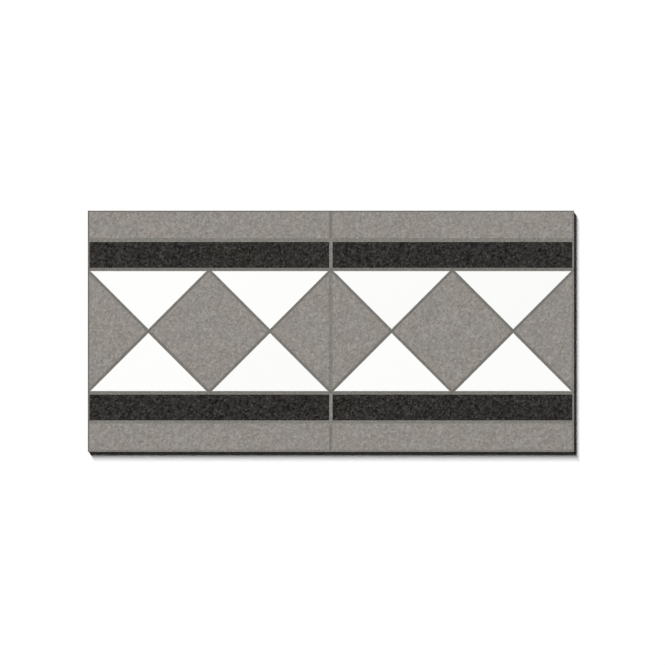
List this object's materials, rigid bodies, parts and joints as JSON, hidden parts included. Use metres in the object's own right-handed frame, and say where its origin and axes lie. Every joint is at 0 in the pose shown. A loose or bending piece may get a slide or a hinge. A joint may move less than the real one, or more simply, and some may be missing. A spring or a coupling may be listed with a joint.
{
  "type": "border tile",
  "caption": "Flat pieced border tile for floors and walls: grey squares on their points and white triangles in grout between straight black and grey strips.",
  "frame": {"origin": "middle of the flat back, where the tile is bedded", "axes": "+X along the border, +Y across it, +Z out of the decorated face"},
  "size_m": [0.3, 0.1488, 0.009],
  "materials": {
    "grey_porcelain": "unglazed, matt, finely speckled",
    "black_porcelain": "unglazed, matt, finely speckled",
    "white_porcelain": "unglazed, matt, plain",
    "grout": "cement grout, sanded, matt"
  },
  "bodies": {
    "root": {"grey_strip_front_1": "grey_porcelain", "grey_strip_front_2": "grey_porcelain", "grey_strip_rear_1": "grey_porcelain", "grey_strip_rear_2": "grey_porcelain", "black_strip_front_1": "black_porcelain", "black_strip_front_2": "black_porcelain", "black_strip_rear_1": "black_porcelain", "black_strip_rear_2": "black_porcelain", "white_triangle_front_1": "white_porcelain", "white_triangle_front_2": "white_porcelain", "white_triangle_front_3": "white_porcelain", "white_triangle_front_4": "white_porcelain", "white_triangle_rear_1": "white_porcelain", "white_triangle_rear_2": "white_porcelain", "white_triangle_rear_3": "white_porcelain", "white_triangle_rear_4": "white_porcelain", "grey_square_1": "grey_porcelain", "grey_square_2": "grey_porcelain", "grey_half_square_1": "grey_porcelain", "grey_half_square_2": "grey_porcelain", "grey_half_square_3": "grey_porcelain", "grey_half_square_4": "grey_porcelain", "grout": "grout"}
  },
  "joints": []
}
